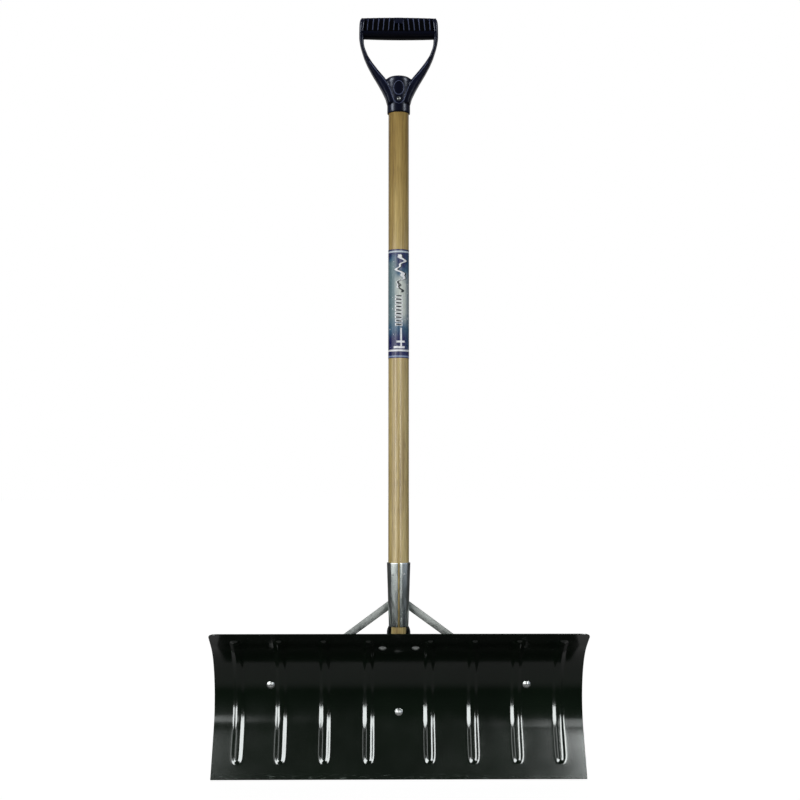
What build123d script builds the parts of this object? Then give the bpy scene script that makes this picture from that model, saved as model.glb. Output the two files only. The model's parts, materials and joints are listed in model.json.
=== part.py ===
from build123d import *
from math import atan2, cos, radians, sin, tan
import os

# Snow pusher: a curved steel blade bolted to a bracket, two braces, an ash handle and a D-grip.
# Millimetres. +Z runs up the handle, the hollow of the blade faces -Y, +X is to the right
# as seen from the front. The origin is the middle of the scraping edge.

# ---- blade ----
BLADE_WIDTH = 609.6
SHEET = 1.5
EDGE_LEAN = 28.7          # the lower flat leans back from vertical by this many degrees
EDGE_FLAT = 77.0          # length of the lower flat, measured up the sheet
BEND_RADIUS = 108.0       # inside radius of the hollow
BEND_TURN = 90.0          # the sheet turns through this angle in the bend
LIP_FLAT = 48.5           # length of the straight upper lip
LIP_CORNER = 12.0
RIB_PLACES = (50.0, 122.0, 194.0, 264.0)   # stiffening ribs, mirrored about X = 0
RIB_TOE = 9.5             # half width where a rib leaves the sheet
RIB_CREST = 4.2           # half width of its flat crest
RIB_HEIGHT = 4.8
RIB_START = 30.0          # distance from the scraping edge to the centre of the lower end
RIB_LIP_GAP = 32.0        # distance from the top edge to the centre of the upper end

# ---- handle ----
HANDLE_SET_BACK = 18.5    # handle axis behind the deepest line of the hollow
SHAFT_R = 17.5
SHAFT_TIP_R = 12.6
SHAFT_BOTTOM = 156.0
SHAFT_TOP = 1162.0
LABEL_BOTTOM = 688.7
LABEL_TOP = 873.5
LABEL_FILM = 0.25

# ---- ferrule ----
FERRULE_BOTTOM = 238.4
FERRULE_TOP = 345.0
FERRULE_BOTTOM_R = 16.45
FERRULE_TOP_R = 19.75
FERRULE_WALL = 1.5
SEAM_GAP = 3.0
BRAD_DROP = 19.0          # brads below the top of the ferrule
BRAD_TURN = 31.0          # brads each side of the seam, degrees round the ferrule
BRAD_HEAD_R = 1.9
BRAD_HEAD = 0.8
BRAD_SHANK_R = 0.9
BRAD_LENGTH = 13.0

# ---- bracket ----
BRACKET_SHEET = 2.5
MOUTH_R = 18.0            # inside radius of the channel at its mouth
MOUTH_Z = 250.0
HEEL_R = 13.0             # inside radius of the channel at its lower end
HEEL_Z = 100.0
FLANGE_HALF = 38.0
TONGUE_HALF = 15.0
TONGUE_BOTTOM = 86.0

# ---- fasteners, quarter inch ----
BOLT_R = 3.1
BOLT_LENGTH = 13.5
BOLT_SQUARE = 6.3
BOLT_HEAD_R = 6.65
BOLT_HEAD = 3.2
HEAD_STAND_OFF = 0.22     # a flat head stands this far off the curved front of the blade
HOLE_R = 3.3
NUT_FLATS = 11.1
NUT_HEIGHT = 5.4
WASHER_R = 6.5
WASHER = 1.2
UPPER_BOLT_ANGLE = 57.0   # places round the bend, counted up from the deepest line
BRACE_BOLT_ANGLE = 13.2
LOWER_BOLT_ANGLE = -10.5
UPPER_BOLT_X = 27.0
BRACE_BOLT_X = 212.0

# ---- braces ----
STRIP = 12.7
STRIP_THICK = 3.0
BRACE_SCREW_Z = 283.0
BRACE_SCREW_R = 2.8
BRACE_SCREW_LENGTH = 26.0
STRIP_RISE = 34.8         # slope of a brace, degrees above horizontal

# ---- grip ----
GRIP_WIDTH = 136.0
BAR_BOTTOM = 1240.3
BAR_TOP = 1277.7
BAR_DEPTH = 30.0
BAR_CORNER = 13.0
FIN_PITCH = 9.0
FIN_THICK = 1.7
FIN_COUNT = 13
FIN_FLOOR = 1250.0        # the pockets between the fins start above this height
POCKET_BACK = 4.0         # the pockets end this far in front of the grip's middle
ARM_DEPTH = 24.0
COLLAR_R = 19.65
COLLAR_BOTTOM = 1109.5
HUB_TOP = 1176.0
GRIP_SCREW_Z = 1132.0
SCREW_HEAD_R = 4.2
SCREW_HEAD = 1.8
SCREW_R = 2.1
SCREW_LENGTH = 19.0
BRACKET_SCREW_Z = 190.0

# ---- worked out from the sizes above ----
LEAN = radians(EDGE_LEAN)
FRONT_Y = -SHEET / 2 * cos(LEAN)
FRONT_Z = SHEET / 2 * sin(LEAN)
BEND_Y = FRONT_Y + EDGE_FLAT * sin(LEAN) - BEND_RADIUS * cos(LEAN)
BEND_Z = FRONT_Z + EDGE_FLAT * cos(LEAN) + BEND_RADIUS * sin(LEAN)
HANDLE_Y = BEND_Y + BEND_RADIUS + HANDLE_SET_BACK
FERRULE_FLARE = (FERRULE_TOP_R - FERRULE_BOTTOM_R) / (FERRULE_TOP - FERRULE_BOTTOM)
FAR = 400.0

pieces = {}


def blade_line(behind, skip_start=0.0, skip_end=0.0):
    """The blade's side line in the YZ plane, at a distance behind its front surface."""
    direction = Vector(0, sin(LEAN), cos(LEAN))
    back = Vector(0, cos(LEAN), -sin(LEAN))
    start = Vector(0, FRONT_Y, FRONT_Z) + back * behind
    flat = Edge.make_line(start + direction * skip_start, start + direction * EDGE_FLAT)
    first = -EDGE_LEAN
    last = BEND_TURN - EDGE_LEAN
    ends = [bend_point(behind, angle) for angle in (first, (first + last) / 2, last)]
    bend = Edge.make_three_point_arc(*ends)
    lip_angle = radians(last)
    forward = Vector(0, -sin(lip_angle), cos(lip_angle))
    lip = Edge.make_line(ends[2], ends[2] + forward * (LIP_FLAT - skip_end))
    return [flat, bend, lip]


def bend_point(behind, angle):
    """A point of the bend, at an angle up from the deepest line."""
    radius = BEND_RADIUS + behind
    return Vector(0, BEND_Y + radius * cos(radians(angle)), BEND_Z + radius * sin(radians(angle)))


def sheet_body(near, far, half_width):
    """Everything between two lines parallel to the blade's front surface."""
    front = blade_line(near)
    back = blade_line(far)
    foot = Edge.make_line(front[0] @ 0, back[0] @ 0)
    top = Edge.make_line(front[2] @ 1, back[2] @ 1)
    face = Face(Wire(front + [top] + back + [foot]))
    return extrude(face, half_width, dir=(1, 0, 0), both=True)


def seat(angle, behind=0.0):
    """A plane on the bend, with its Z axis pointing out of the back of the blade."""
    out = Vector(0, cos(radians(angle)), sin(radians(angle)))
    return Plane(origin=bend_point(behind, angle), x_dir=(1, 0, 0), z_dir=out)


def rib_section(shrink):
    """Half of a rib's section, as (across, out of the front) points, thinned by the sheet."""
    flank = atan2(RIB_HEIGHT, RIB_TOE - RIB_CREST)
    inward = shrink * tan(flank / 2)
    toe = RIB_TOE - inward
    crest = RIB_CREST - inward
    height = RIB_HEIGHT - shrink
    floor = -SHEET / 2 if shrink == 0 else -SHEET - 1.0
    return [(0, floor), (toe, floor), (toe, -shrink), (crest, height), (0, height)]


def rib_body(shrink):
    """A rib on X = 0: its section swept up the blade, with a rounded end below and above."""
    half = rib_section(shrink)
    lines = blade_line(0.0, RIB_START, RIB_LIP_GAP)
    path = Wire(lines)
    whole = half + [(-across, out) for across, out in reversed(half[1:-1])]
    body = None
    for place, line, at in ((0, lines[0], 0), (1, lines[2], 1)):
        along = line % at
        out = Vector(0, -along.Z, along.Y)
        section_plane = Plane(origin=line @ at, x_dir=(1, 0, 0), z_dir=Vector(1, 0, 0).cross(out))
        half_face = section_plane * make_face(Polyline(*half, close=True))
        end = revolve(half_face, axis=Axis(line @ at, out), revolution_arc=360)
        if place == 0:
            section = section_plane * make_face(Polyline(*whole, close=True))
            body = sweep(section, path=path)
        body = body + end
    return body


def make_blade():
    """Curved sheet with rounded upper corners, eight pressed ribs and five bolt holes."""
    sheet = sheet_body(0.0, SHEET, BLADE_WIDTH / 2)
    top_z = (blade_line(0.0)[2] @ 1).Z
    corners = [edge for edge in sheet.edges()
               if edge.center().Z > top_z - SHEET and abs(edge.length - SHEET) < 0.01
               and abs(edge.center().X) > BLADE_WIDTH / 2 - 1]
    sheet = fillet(corners, LIP_CORNER)
    ridge = rib_body(0.0)
    hollow = rib_body(SHEET)
    for x in RIB_PLACES:
        for side in (-1, 1):
            sheet = sheet + Pos(side * x, 0, 0) * ridge
            sheet = sheet - Pos(side * x, 0, 0) * hollow
    for x, angle in bolt_places():
        sheet = sheet - seat(angle) * Pos(x, 0, 0) * Box(BOLT_SQUARE + 0.3, BOLT_SQUARE + 0.3, 8)
    return sheet


def bolt_places():
    """Every blade bolt as (x, angle round the bend)."""
    pairs = [(UPPER_BOLT_X, UPPER_BOLT_ANGLE), (BRACE_BOLT_X, BRACE_BOLT_ANGLE)]
    places = [(side * x, angle) for x, angle in pairs for side in (-1, 1)]
    return places + [(0.0, LOWER_BOLT_ANGLE)]


def channel(extra):
    """The bracket's tapered channel: half round behind the handle, open sides to the front."""
    levels = []
    for z, radius in ((HEEL_Z, HEEL_R + extra), (MOUTH_Z, MOUTH_R + extra)):
        left = Vector(-radius, HANDLE_Y, z)
        right = Vector(radius, HANDLE_Y, z)
        rear = Edge.make_three_point_arc(left, Vector(0, HANDLE_Y + radius, z), right)
        front_right = Vector(radius, -FAR / 4, z)
        front_left = Vector(-radius, -FAR / 4, z)
        sides = [Edge.make_line(right, front_right), Edge.make_line(front_right, front_left),
                 Edge.make_line(front_left, left)]
        levels.append(Face(Wire([rear] + sides)))
    return loft(levels)


def bracket_side(lift):
    """Side view of the bracket's channel. Lift raises the sloping floor for the inside."""
    rear = HANDLE_Y + 25
    mouth = HANDLE_Y - 2
    points = [(-60, 219), (mouth, 226), (rear, 250), (rear, 164 + lift), (50, 112 + lift),
              (-60, 112 + lift)]
    return extrude(Plane.YZ * make_face(Polyline(*points, close=True)), 60, both=True)


def make_bracket():
    """Pressed channel with side walls that reach the blade, and a flange for its bolts."""
    behind = sheet_body(SHEET, FAR / 4, 60)
    outer = channel(BRACKET_SHEET) & behind & bracket_side(0)
    inner = channel(0) & bracket_side(BRACKET_SHEET * 1.4)
    flange_top = bend_point(0, UPPER_BOLT_ANGLE + 6).Z
    outline = [(-TONGUE_HALF, TONGUE_BOTTOM), (TONGUE_HALF, TONGUE_BOTTOM), (TONGUE_HALF, 112),
               (FLANGE_HALF, 178), (FLANGE_HALF, flange_top), (-FLANGE_HALF, flange_top),
               (-FLANGE_HALF, 178), (-TONGUE_HALF, 112)]
    pad = extrude(Plane.XZ * make_face(Polyline(*outline, close=True)), FAR / 2, both=True)
    upright = pad.edges().filter_by(Axis.Y)
    pad = fillet(upright, 6)
    flange = sheet_body(SHEET, SHEET + BRACKET_SHEET, 60) & pad
    bracket = outer + flange - inner
    for x, angle in bolt_places():
        if abs(x) < FLANGE_HALF:
            bracket = bracket - seat(angle) * Pos(x, 0, 0) * Cylinder(HOLE_R, 30)
    return bracket - from_behind(BRACKET_SCREW_Z) * Cylinder(SCREW_R + 0.2, 60)


def from_behind(z, y=None):
    """A place on the handle's middle plane whose Z axis points to the rear."""
    depth = HANDLE_Y if y is None else y
    return Plane(origin=(0, depth, z), x_dir=(1, 0, 0), z_dir=(0, 1, 0))


def carriage_bolt():
    """Round domed head in front of Z = 0, square neck and shank behind it."""
    dome_r = (BOLT_HEAD_R ** 2 + BOLT_HEAD ** 2) / (2 * BOLT_HEAD)
    ball = Pos(0, 0, dome_r - BOLT_HEAD) * Sphere(dome_r)
    head = ball & (Pos(0, 0, -BOLT_HEAD) * Cylinder(BOLT_HEAD_R + 1, 2 * BOLT_HEAD))
    neck = Pos(0, 0, 0.65) * Box(BOLT_SQUARE, BOLT_SQUARE, 1.3)
    shank = Pos(0, 0, BOLT_LENGTH / 2) * Cylinder(BOLT_R, BOLT_LENGTH)
    return head + neck + chamfer(shank.edges().group_by(Axis.Z)[-1], 0.6)


def hex_nut():
    """Nut standing on Z = 0."""
    flats = extrude(RegularPolygon(NUT_FLATS / 2, 6, major_radius=False), NUT_HEIGHT)
    corner_r = NUT_FLATS / 2 / cos(radians(30))
    round_blank = Pos(0, 0, NUT_HEIGHT / 2) * Cylinder(corner_r, NUT_HEIGHT)
    round_blank = chamfer(round_blank.edges().filter_by(GeomType.CIRCLE), 0.7)
    body = flats & round_blank
    return body - Cylinder(BOLT_R + 0.05, 3 * NUT_HEIGHT)


def washer(outer_r=WASHER_R, inner_r=HOLE_R, thick=WASHER):
    """Flat washer standing on Z = 0."""
    return Pos(0, 0, thick / 2) * (Cylinder(outer_r, thick) - Cylinder(inner_r, thick))


def pan_screw(radius, length, head_r, head):
    """Screw with a domed head above Z = 0, its shank below, and a cross recess."""
    dome_r = (head_r ** 2 + head ** 2) / (2 * head)
    ball = Pos(0, 0, head - dome_r) * Sphere(dome_r)
    top = ball & (Pos(0, 0, head) * Cylinder(head_r + 1, 2 * head))
    shank = Pos(0, 0, -length / 2) * Cylinder(radius, length)
    tip = Pos(0, 0, -length - radius) * Cone(0.2, radius, 2 * radius)
    slot = Pos(0, 0, head) * Box(head_r * 1.1, 0.9, head)
    return top + shank + tip - slot - Rot(0, 0, 90) * slot


def stack(part, angle, places, behind):
    """Copies of a fastener part on the blade's back, at one angle round the bend."""
    return [seat(angle, behind) * Pos(x, 0, 0) * part for x in places]


def make_fasteners():
    """Bolts with their washers and nuts, in one node for each group that sits together."""
    groups = {
        "bracket_upper": (UPPER_BOLT_ANGLE, (-UPPER_BOLT_X, UPPER_BOLT_X), BRACKET_SHEET),
        "bracket_lower": (LOWER_BOLT_ANGLE, (0.0,), BRACKET_SHEET),
        "brace": (BRACE_BOLT_ANGLE, (-BRACE_BOLT_X, BRACE_BOLT_X), STRIP_THICK),
    }
    for name, (angle, places, clamped) in groups.items():
        ending = "s" if len(places) > 1 else ""
        back = SHEET + clamped
        pieces[name + "_bolt" + ending] = stack(carriage_bolt(), angle, places, -HEAD_STAND_OFF)
        pieces[name + "_washer" + ending] = stack(washer(), angle, places, back)
        pieces[name + "_nut" + ending] = stack(hex_nut(), angle, places, back + WASHER)


def ferrule_r(z):
    """Outside radius of the ferrule at a height."""
    return FERRULE_BOTTOM_R + (z - FERRULE_BOTTOM) * FERRULE_FLARE


def make_ferrule():
    """Rolled steel cone with an open seam at the front."""
    inner = [FERRULE_BOTTOM_R - FERRULE_WALL, FERRULE_TOP_R - FERRULE_WALL]
    wall = [(inner[0], FERRULE_BOTTOM), (FERRULE_BOTTOM_R, FERRULE_BOTTOM),
            (FERRULE_TOP_R, FERRULE_TOP), (inner[1], FERRULE_TOP)]
    shell = revolve(Plane.XZ * make_face(Polyline(*wall, close=True)), axis=Axis.Z)
    middle = (FERRULE_BOTTOM + FERRULE_TOP) / 2
    seam = Pos(0, -FERRULE_TOP_R, middle) * Box(SEAM_GAP, 2 * FERRULE_TOP_R, 200)
    return Pos(0, HANDLE_Y, 0) * (shell - seam)


def brad_places():
    """Planes on the front of the ferrule, each side of its seam, facing outwards."""
    z = FERRULE_TOP - BRAD_DROP
    planes = []
    for side in (-1, 1):
        turn = radians(side * BRAD_TURN)
        out = Vector(sin(turn), -cos(turn), 0)
        spot = Vector(0, HANDLE_Y, z) + out * (ferrule_r(z) + 0.05)
        planes.append(Plane(origin=spot, x_dir=(0, 0, 1), z_dir=out))
    return planes


def brad():
    """Small nail with a flat round head above Z = 0."""
    head = Pos(0, 0, BRAD_HEAD / 2) * Cylinder(BRAD_HEAD_R, BRAD_HEAD)
    head = fillet(head.edges().group_by(Axis.Z)[-1], 0.5)
    return head + Pos(0, 0, -BRAD_LENGTH / 2) * Cylinder(BRAD_SHANK_R, BRAD_LENGTH)


def make_shaft():
    """Turned ash handle, tapered inside the ferrule, with its edges broken."""
    profile = [(0, SHAFT_BOTTOM), (SHAFT_TIP_R - 1.5, SHAFT_BOTTOM),
               (SHAFT_TIP_R, SHAFT_BOTTOM + 1.5), (SHAFT_TIP_R, FERRULE_BOTTOM - 2),
               (SHAFT_R, FERRULE_TOP - 4), (SHAFT_R, SHAFT_TOP - 2), (SHAFT_R - 2, SHAFT_TOP),
               (0, SHAFT_TOP)]
    turned = revolve(Plane.XZ * make_face(Polyline(*profile, close=True)), axis=Axis.Z)
    return Pos(0, HANDLE_Y, 0) * turned


def make_label():
    """Printed film wrapped once round the handle."""
    height = LABEL_TOP - LABEL_BOTTOM
    ring = Cylinder(SHAFT_R + 0.02 + LABEL_FILM, height) - Cylinder(SHAFT_R + 0.02, height)
    return Pos(0, HANDLE_Y, (LABEL_BOTTOM + LABEL_TOP) / 2) * ring


def make_brace(side, layer):
    """Flat strip from behind the ferrule to the blade, folded flat at both ends."""
    tab_y = HANDLE_Y + ferrule_r(BRACE_SCREW_Z + 12) + STRIP_THICK * (layer + 0.5)
    slope = radians(STRIP_RISE)
    down = Vector(side * cos(slope), 0, -sin(slope))
    across = Vector(side * sin(slope), 0, cos(slope)) * (STRIP / 2)
    rear = Vector(0, STRIP_THICK / 2, 0)
    hub = Vector(0, tab_y, BRACE_SCREW_Z)
    foot_out = seat(BRACE_BOLT_ANGLE).z_dir
    foot_up = Vector(0, -foot_out.Z, foot_out.Y) * (STRIP / 2)
    foot = bend_point(SHEET + STRIP_THICK / 2, BRACE_BOLT_ANGLE)
    foot_rear = foot_out * (STRIP_THICK / 2)
    stations = [
        (hub - down * 9, across, rear),
        (hub + down * 14, across, rear),
        (foot + Vector(side * (BRACE_BOLT_X - 17), 0, 0), foot_up, foot_rear),
        (foot + Vector(side * (BRACE_BOLT_X + 10), 0, 0), foot_up, foot_rear),
    ]
    strip = None
    for near, far in zip(stations, stations[1:]):
        corners = [centre + wide * i + thick * j
                   for centre, wide, thick in (near, far) for i in (-1, 1) for j in (-1, 1)]
        run = ConvexPolyhedron([tuple(corner) for corner in corners])
        strip = run if strip is None else strip + run
    strip = strip - seat(BRACE_BOLT_ANGLE) * Pos(side * BRACE_BOLT_X, 0, 0) * Cylinder(HOLE_R, 30)
    return strip - from_behind(BRACE_SCREW_Z) * Cylinder(BRACE_SCREW_R + 0.2, 80)


def brace_screw_seat():
    """Where the brace screw's head bears, behind both strips."""
    rear = HANDLE_Y + ferrule_r(BRACE_SCREW_Z + 12) + 2 * STRIP_THICK
    return from_behind(BRACE_SCREW_Z, rear)


def grip_outline():
    """Front view of the grip's arms: outer line, then the hand opening, right half mirrored."""
    outer = [Spline((GRIP_WIDTH / 2, 1252), (64.4, 1223.5), (55.4, 1196), (40, 1168), (27.8, 1147),
                    (COLLAR_R, 1120), tangents=[(0, -1), (0, -1)]),
             Line((COLLAR_R, 1120), (0, 1120)),
             Line((0, 1120), (0, 1262)),
             Line((0, 1262), (GRIP_WIDTH / 2, 1262)),
             Line((GRIP_WIDTH / 2, 1262), (GRIP_WIDTH / 2, 1252))]
    hole = [Spline((60, 1241), (57.6, 1224), (48.4, 1203), (32.6, 1182), (14, 1164),
                   tangents=[(0, -1), (-1, -0.9)]),
            Line((14, 1164), (0, 1164)),
            Line((0, 1164), (0, 1241)),
            Line((0, 1241), (60, 1241))]
    half = make_face(outer) - make_face(hole)
    return half + mirror(half, about=Plane.YZ)


def make_grip():
    """Moulded D-grip: ribbed crossbar, two curved arms, and a hub with a socket."""
    height = BAR_TOP - BAR_BOTTOM
    bar_face = Plane.YZ * RectangleRounded(BAR_DEPTH, height, BAR_CORNER)
    bar = extrude(bar_face, GRIP_WIDTH / 2 - 0.5, both=True)
    bar = fillet(bar.edges().group_by(Axis.X)[0] + bar.edges().group_by(Axis.X)[-1], 5)
    bar = Pos(0, 0, (BAR_TOP + BAR_BOTTOM) / 2) * bar
    for number in range(FIN_COUNT + 1):
        x = (number - FIN_COUNT / 2) * FIN_PITCH
        pocket = Box(FIN_PITCH - FIN_THICK, BAR_DEPTH, 40, align=(Align.CENTER, Align.MAX, Align.MIN))
        bar = bar - Pos(x, -POCKET_BACK, FIN_FLOOR) * pocket
    arms = extrude(Plane.XZ * grip_outline(), ARM_DEPTH / 2, both=True)
    below_bar = Pos(0, 0, BAR_BOTTOM - 140 + 8) * Box(200, 60, 280)
    arms = arms & below_bar
    dome_r = 26.0
    dome = Pos(0, 0, HUB_TOP - dome_r) * Sphere(dome_r)
    hub_height = HUB_TOP - COLLAR_BOTTOM
    hub = Pos(0, 0, (HUB_TOP + COLLAR_BOTTOM) / 2) * Cylinder(COLLAR_R, hub_height)
    hub = hub & (dome + Pos(0, 0, HUB_TOP - dome_r - 60) * Cylinder(dome_r, 120))
    socket = Cylinder(SHAFT_R + 0.05, 60, align=(Align.CENTER, Align.CENTER, Align.MAX))
    grip = bar + arms + hub - Pos(0, 0, SHAFT_TOP + 0.5) * socket
    grip = Pos(0, HANDLE_Y, 0) * grip
    return grip - grip_screw_seat() * Pos(0, 0, -10) * Cylinder(SCREW_R + 0.1, 24)


def grip_screw_seat():
    """Front face of the collar, facing the user."""
    return Plane(origin=(0, HANDLE_Y - COLLAR_R, GRIP_SCREW_Z), x_dir=(1, 0, 0), z_dir=(0, -1, 0))


def channel_rear(z):
    """Outside of the bracket's channel on its middle line, at a height."""
    taper = (MOUTH_R - HEEL_R) / (MOUTH_Z - HEEL_Z)
    return HANDLE_Y + HEEL_R + BRACKET_SHEET + (z - HEEL_Z) * taper


def make_screws():
    """Wood screws: one through the braces, one through the bracket and one through the grip."""
    pieces["brace_screw_washer"] = brace_screw_seat() * washer(7.5, BRACE_SCREW_R + 0.2, WASHER)
    brace = pan_screw(BRACE_SCREW_R, BRACE_SCREW_LENGTH, 6.0, 3.0)
    pieces["brace_screw"] = brace_screw_seat() * Pos(0, 0, WASHER) * brace
    small = pan_screw(SCREW_R, SCREW_LENGTH, SCREW_HEAD_R, SCREW_HEAD)
    bracket_seat = from_behind(BRACKET_SCREW_Z, channel_rear(BRACKET_SCREW_Z) + 0.3)
    pieces["bracket_handle_screw"] = bracket_seat * small
    pieces["grip_screw"] = grip_screw_seat() * small


def bore_for_fasteners(name, fasteners):
    """Cut the holes that the named fasteners go through."""
    for fastener in fasteners:
        solids = pieces[fastener] if isinstance(pieces[fastener], list) else [pieces[fastener]]
        for solid in solids:
            pieces[name] = pieces[name] - solid


def build():
    """Fill the table of pieces, one entry for each node."""
    pieces["blade"] = make_blade()
    pieces["handle_bracket"] = make_bracket()
    pieces["ferrule"] = make_ferrule()
    pieces["ferrule_brads"] = [plane * brad() for plane in brad_places()]
    pieces["handle_shaft"] = make_shaft()
    pieces["label_sleeve"] = make_label()
    pieces["d_grip"] = make_grip()
    pieces["brace_left"] = make_brace(-1, 0)
    pieces["brace_right"] = make_brace(1, 1)
    make_fasteners()
    make_screws()
    bore_for_fasteners("ferrule", ["ferrule_brads", "brace_screw"])
    bore_for_fasteners("handle_shaft", ["ferrule_brads", "brace_screw", "bracket_handle_screw",
                                        "grip_screw"])


def write_parts():
    """Write one STEP file for each node."""
    os.makedirs("parts", exist_ok=True)
    for name, piece in pieces.items():
        solids = piece if isinstance(piece, list) else [piece]
        shape = Compound(children=[solid for group in solids for solid in group.solids()])
        export_step(shape, f"parts/{name}.step")
        print(name, len(shape.solids()), "solids", round(shape.volume), "mm3")


build()
write_parts()
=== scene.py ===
# %% [markdown]
# # A snow pusher, piece by piece
# A wide snow pusher is a rolled steel blade, a bracket and two braces behind it, an ash handle
# in a split ferrule, and a moulded D-grip. This file makes the large parts again with soft
# edges, true bends and real finishes. Units are metres, +Z runs up the handle and the hollow of
# the blade faces -Y.

# %% Load the frame
import json
from math import cos, pi, radians, sin

import bmesh
import bpy
from mathutils import Matrix, Vector

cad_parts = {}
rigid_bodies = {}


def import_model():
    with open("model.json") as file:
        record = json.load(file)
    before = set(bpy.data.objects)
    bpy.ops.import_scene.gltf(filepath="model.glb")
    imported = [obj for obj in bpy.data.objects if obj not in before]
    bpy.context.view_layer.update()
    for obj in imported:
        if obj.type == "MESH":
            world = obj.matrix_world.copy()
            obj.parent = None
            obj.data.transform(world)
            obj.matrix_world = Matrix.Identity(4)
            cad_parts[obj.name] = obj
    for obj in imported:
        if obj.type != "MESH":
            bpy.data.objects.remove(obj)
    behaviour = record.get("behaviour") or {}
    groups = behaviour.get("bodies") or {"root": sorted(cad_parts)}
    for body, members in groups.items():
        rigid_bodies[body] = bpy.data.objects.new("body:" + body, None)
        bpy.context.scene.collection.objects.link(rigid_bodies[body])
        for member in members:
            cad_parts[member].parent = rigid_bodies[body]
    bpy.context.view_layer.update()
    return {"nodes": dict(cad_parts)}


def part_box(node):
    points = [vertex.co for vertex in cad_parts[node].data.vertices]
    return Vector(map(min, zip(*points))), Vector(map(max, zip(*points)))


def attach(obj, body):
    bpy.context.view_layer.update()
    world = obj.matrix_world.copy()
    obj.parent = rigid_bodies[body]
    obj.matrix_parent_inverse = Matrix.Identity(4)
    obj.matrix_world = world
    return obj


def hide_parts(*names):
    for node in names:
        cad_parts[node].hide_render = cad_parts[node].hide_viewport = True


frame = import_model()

# %% [markdown]
# ## Working habits
# Operators act on whatever is selected, and the loaded parts start out selected. So each step
# begins with a clean slate. Inside edit mode the faces, edges or points to work on are picked by
# where they are or which way they face, which is what a modeller does by eye.

# %% A clean slate, and ways to pick
MM = 0.001
WELD = 0.01 * MM                 # points closer than this are one point


def clean_slate():
    """Leave edit mode and deselect everything."""
    if bpy.context.object and bpy.context.object.mode != "OBJECT":
        bpy.ops.object.mode_set(mode="OBJECT")
    bpy.ops.object.select_all(action="DESELECT")


def settle(name):
    """Name the new primitive and move its size and place into its mesh."""
    piece = bpy.context.object
    piece.name = name
    bpy.ops.object.transform_apply(location=True, rotation=True, scale=True)
    return piece


def take(piece):
    """Make one piece the only selected one, and the active one."""
    clean_slate()
    piece.select_set(True)
    bpy.context.view_layer.objects.active = piece


def pick_all():
    bpy.ops.mesh.select_all(action="SELECT")


def edit(piece):
    """Open one piece in edit mode with all of it selected."""
    take(piece)
    bpy.ops.object.mode_set(mode="EDIT")
    bpy.ops.mesh.select_mode(type="VERT")
    pick_all()


def done_editing():
    bpy.ops.object.mode_set(mode="OBJECT")


def pick(kind, test):
    """Select the VERT, EDGE or FACE elements that pass the test; says how many there are."""
    mesh = bpy.context.edit_object.data
    bpy.ops.mesh.select_mode(type=kind)
    bpy.ops.mesh.select_all(action="DESELECT")
    bm = bmesh.from_edit_mesh(mesh)
    table = {"VERT": bm.verts, "EDGE": bm.edges, "FACE": bm.faces}[kind]
    bm.normal_update()
    count = 0
    for element in table:
        if test(element):
            element.select_set(True)
            count += 1
    bm.select_flush_mode()
    bmesh.update_edit_mesh(mesh)
    return count


def middle(element):
    """Centre of a face or an edge."""
    if isinstance(element, bmesh.types.BMFace):
        return element.calc_center_median()
    return (element.verts[0].co + element.verts[1].co) / 2


print("helpers ready")

# %% [markdown]
# ## Finishing habits
# Modifiers do the work that would be dull by hand: smoothing, giving a sheet its thickness and
# breaking sharp edges. Each is applied at once, so that the next step works on real faces. Last,
# a piece gets its finish and is handed to the body that it moves with.

# %% Modifiers, and handing a piece over to its body
def apply_modifier(piece, kind, **settings):
    """Add one modifier, set it up and apply it."""
    take(piece)
    modifier = piece.modifiers.new(kind.title(), kind)
    for key, value in settings.items():
        setattr(modifier, key, value)
    bpy.ops.object.modifier_apply(modifier=modifier.name)


def break_edges(piece, width, segments, angle):
    """Round every edge that is sharper than an angle in degrees."""
    apply_modifier(piece, "BEVEL", width=width, segments=segments, limit_method="ANGLE",
                   angle_limit=radians(angle))


def turn_outwards():
    """Weld doubles and turn every face outwards."""
    pick_all()
    bpy.ops.mesh.remove_doubles(threshold=WELD)
    bpy.ops.mesh.normals_make_consistent(inside=False)


def tidy_normals(piece):
    edit(piece)
    turn_outwards()
    done_editing()


def hand_over(piece, material, slot, *nodes, crease=35):
    """Shade, paint and attach a finished piece, and hide the CAD nodes that it stands for."""
    take(piece)
    bpy.ops.object.shade_smooth_by_angle(angle=radians(crease))
    piece.data.name = piece.name
    piece.data.materials.clear()
    piece.data.materials.append(material)
    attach(piece, "root")
    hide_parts(*nodes)
    print(piece.name, len(piece.data.vertices), "points,", len(piece.data.polygons), "faces")


def copy_piece(piece, name, matrix):
    """A copy with its own mesh, placed by a matrix that goes into that mesh."""
    take(piece)
    bpy.ops.object.duplicate(linked=False)
    twin = bpy.context.object
    twin.name = name
    twin.data.transform(matrix)
    return twin


# %% [markdown]
# ## Camera
# A long lens, low and square to the front, tilted up a little so that the upright handle keeps
# its full height in a square picture. The camera stands three centimetres left of the handle and
# is turned a little to the right.

# %% Camera
blade_low, blade_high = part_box("blade")
shaft_low, shaft_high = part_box("handle_shaft")
HANDLE_Y = (shaft_low.y + shaft_high.y) / 2
CAMERA_PLACE = Vector((-0.028, HANDLE_Y - 2.2551, 0.4832))
CAMERA_PITCH = 3.434
CAMERA_YAW = 0.77

camera_data = bpy.data.cameras.new("camera")
camera_data.lens = 60.0          # millimetres, on a sensor 36 mm wide
camera_data.sensor_width = 36.0
camera_data.clip_start = 0.05
camera_data.clip_end = 60.0
camera = bpy.data.objects.new("camera", camera_data)
camera.location = CAMERA_PLACE
camera.rotation_euler = (radians(90 + CAMERA_PITCH), 0, radians(-CAMERA_YAW))
bpy.context.scene.collection.objects.link(camera)
bpy.context.scene.camera = camera
bpy.context.scene.view_settings.view_transform = "Standard"
print("camera at", [round(v, 3) for v in CAMERA_PLACE])

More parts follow.
